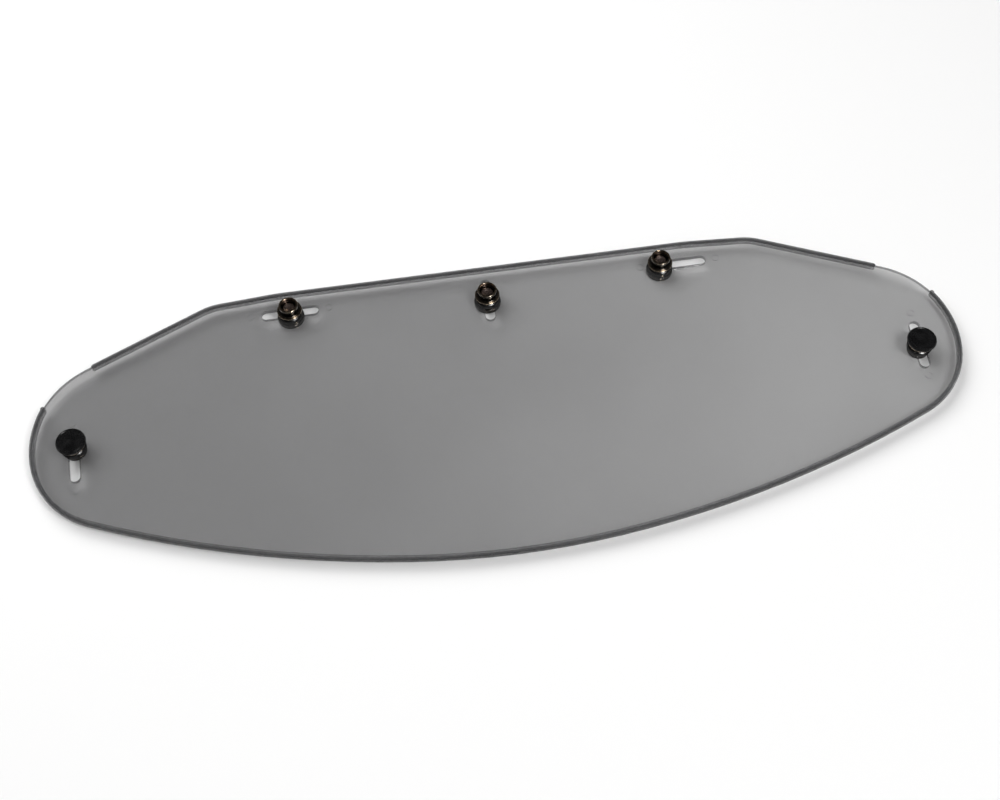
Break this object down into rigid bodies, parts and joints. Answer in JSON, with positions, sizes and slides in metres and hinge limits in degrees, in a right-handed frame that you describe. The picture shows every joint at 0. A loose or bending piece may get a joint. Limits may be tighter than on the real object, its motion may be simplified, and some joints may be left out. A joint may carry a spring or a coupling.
{
  "type": "press-stud helmet wind screen",
  "caption": "Flat smoke-tinted helmet wind screen with edge trim and press-stud snaps that slide in slots to suit different helmets.",
  "frame": {"origin": "on the surface the sockets stand on, below the middle of the screen's outline", "axes": "+X along the screen, +Y towards the straight upper edge, +Z outwards, away from the helmet"},
  "size_m": [0.4552, 0.1623, 0.0121],
  "materials": {
    "smoke_sheet": "clear smoke-tinted polycarbonate sheet, gloss",
    "smoke_trim": "smoke-grey flexible vinyl, semi-gloss",
    "black_washer": "gloss black moulding",
    "fibre_washer": "matt black fibre",
    "black_cap": "gloss black moulding",
    "clear_bush": "natural nylon tube",
    "spring_wire": "bright spring wire",
    "stud_metal": "black nickel plate, polished",
    "collar_metal": "black nickel plate, polished",
    "post_metal": "black nickel plate, polished",
    "socket_metal": "black nickel plate, polished"
  },
  "bodies": {
    "screen": {"screen": "smoke_sheet", "upper_edge_trim": "smoke_trim", "lower_edge_trim": "smoke_trim"},
    "upper_left_washers": {"upper_left_outer_washer": "black_washer", "upper_left_inner_washer": "fibre_washer"},
    "upper_left_snap": {"upper_left_stud": "stud_metal", "upper_left_collar": "collar_metal", "upper_left_post": "post_metal", "upper_left_bush": "clear_bush", "upper_left_socket": "socket_metal", "upper_left_socket_spring": "spring_wire"},
    "upper_centre_washers": {"upper_centre_outer_washer": "black_washer", "upper_centre_inner_washer": "fibre_washer"},
    "upper_centre_snap": {"upper_centre_stud": "stud_metal", "upper_centre_collar": "collar_metal", "upper_centre_post": "post_metal", "upper_centre_bush": "clear_bush", "upper_centre_socket": "socket_metal", "upper_centre_socket_spring": "spring_wire"},
    "upper_right_washers": {"upper_right_outer_washer": "black_washer", "upper_right_inner_washer": "fibre_washer"},
    "upper_right_snap": {"upper_right_stud": "stud_metal", "upper_right_collar": "collar_metal", "upper_right_post": "post_metal", "upper_right_bush": "clear_bush", "upper_right_socket": "socket_metal", "upper_right_socket_spring": "spring_wire"},
    "left_end_washers": {"left_end_outer_washer": "black_washer", "left_end_inner_washer": "fibre_washer"},
    "left_end_snap": {"left_end_cap": "black_cap", "left_end_collar": "collar_metal", "left_end_post": "post_metal", "left_end_bush": "clear_bush", "left_end_socket": "socket_metal", "left_end_socket_spring": "spring_wire"},
    "right_end_washers": {"right_end_outer_washer": "black_washer", "right_end_inner_washer": "fibre_washer"},
    "right_end_snap": {"right_end_cap": "black_cap", "right_end_collar": "collar_metal", "right_end_post": "post_metal", "right_end_bush": "clear_bush", "right_end_socket": "socket_metal", "right_end_socket_spring": "spring_wire"}
  },
  "joints": [
    {"name": "upper_left_slide", "type": "slide", "parent": "screen", "child": "upper_left_washers", "axis": [1, 0, 0], "range_m": [-0.0119, 0.0119]},
    {"name": "upper_left_turn", "type": "hinge", "parent": "upper_left_washers", "child": "upper_left_snap", "pos_m": [-0.1, 0.0684, 0], "axis": [0, 0, 1], "continuous": true},
    {"name": "upper_centre_slide", "type": "slide", "parent": "screen", "child": "upper_centre_washers", "axis": [0, 1, 0], "range_m": [-0.0115, 0.0083]},
    {"name": "upper_centre_turn", "type": "hinge", "parent": "upper_centre_washers", "child": "upper_centre_snap", "pos_m": [0, 0.0621, 0], "axis": [0, 0, 1], "continuous": true},
    {"name": "upper_right_slide", "type": "slide", "parent": "screen", "child": "upper_right_washers", "axis": [1, 0, 0], "range_m": [-0.0025, 0.0213]},
    {"name": "upper_right_turn", "type": "hinge", "parent": "upper_right_washers", "child": "upper_right_snap", "pos_m": [0.0906, 0.0684, 0], "axis": [0, 0, 1], "continuous": true},
    {"name": "left_end_slide", "type": "slide", "parent": "screen", "child": "left_end_washers", "axis": [-0.0785, 0.9969, 0], "range_m": [-0.017, 0.0048]},
    {"name": "left_end_turn", "type": "hinge", "parent": "left_end_washers", "child": "left_end_snap", "pos_m": [-0.20678, 0.00608, 0], "axis": [0, 0, 1], "continuous": true},
    {"name": "right_end_slide", "type": "slide", "parent": "screen", "child": "right_end_washers", "axis": [0.0785, 0.9969, 0], "range_m": [-0.0106, 0.0112]},
    {"name": "right_end_turn", "type": "hinge", "parent": "right_end_washers", "child": "right_end_snap", "pos_m": [0.20628, -0.0003, 0], "axis": [0, 0, 1], "continuous": true}
  ]
}
